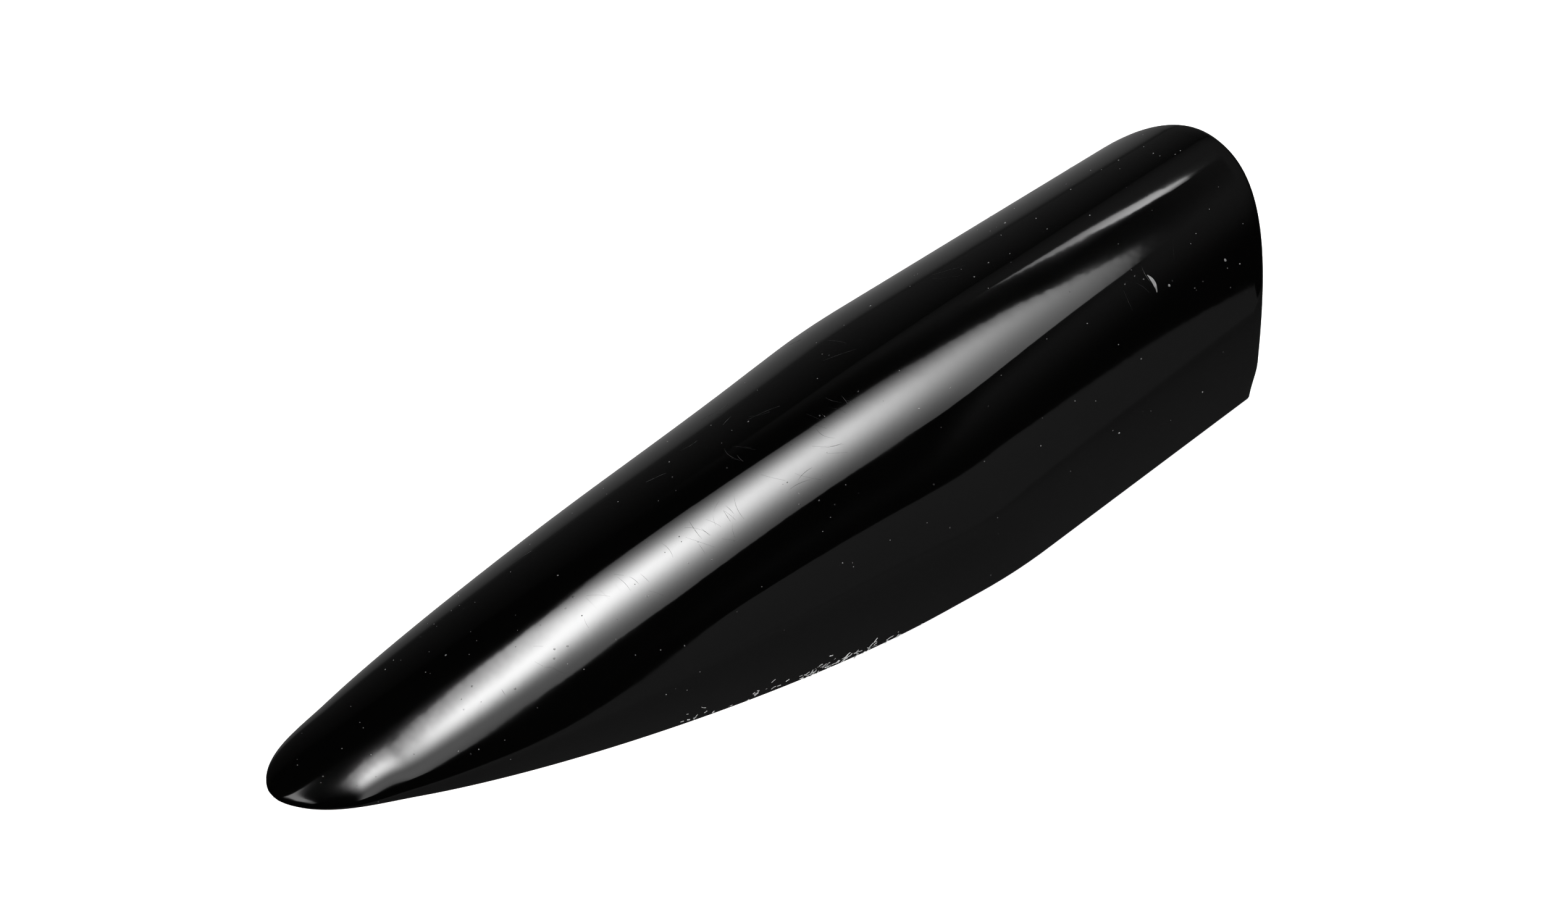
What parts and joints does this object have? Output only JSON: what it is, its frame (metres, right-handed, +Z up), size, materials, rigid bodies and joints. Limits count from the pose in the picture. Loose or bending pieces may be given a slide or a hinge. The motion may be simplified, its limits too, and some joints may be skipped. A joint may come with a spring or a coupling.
{
  "type": "press-on fingernail",
  "caption": "Long almond press-on fingernail: C-curved moulded shell, black gloss gel coats and a peel-off adhesive tab inside.",
  "frame": {"origin": "bottom centre of the bounding box: the middle of the nail, on the plane its side rims rest on", "axes": "+Z up, +X from the point to the base end, +Y across the nail"},
  "size_m": [0.038, 0.011, 0.0054],
  "materials": {
    "moulded_abs": "natural moulded ABS, satin inside, filed at the rims",
    "clear_base_gel": "thin cured clear gel",
    "black_gel": "opaque black cured gel",
    "clear_top_gel": "high-gloss cured gel over black, with dust nibs and fine scratches",
    "acrylic_adhesive": "soft clear pressure-sensitive adhesive",
    "carrier_film": "clear polyester film",
    "release_film": "milky pale blue silicone-coated release film"
  },
  "bodies": {
    "nail": {"nail_shell": "moulded_abs", "base_coat": "clear_base_gel", "colour_coat": "black_gel", "top_coat": "clear_top_gel", "shell_side_adhesive": "acrylic_adhesive", "carrier_film": "carrier_film", "finger_side_adhesive": "acrylic_adhesive"},
    "liner": {"release_liner": "release_film"}
  },
  "joints": [
    {"name": "liner_peel", "type": "slide", "parent": "nail", "child": "liner", "axis": [0.9976, 0, -0.0698], "range_m": [0, 0.022]}
  ]
}
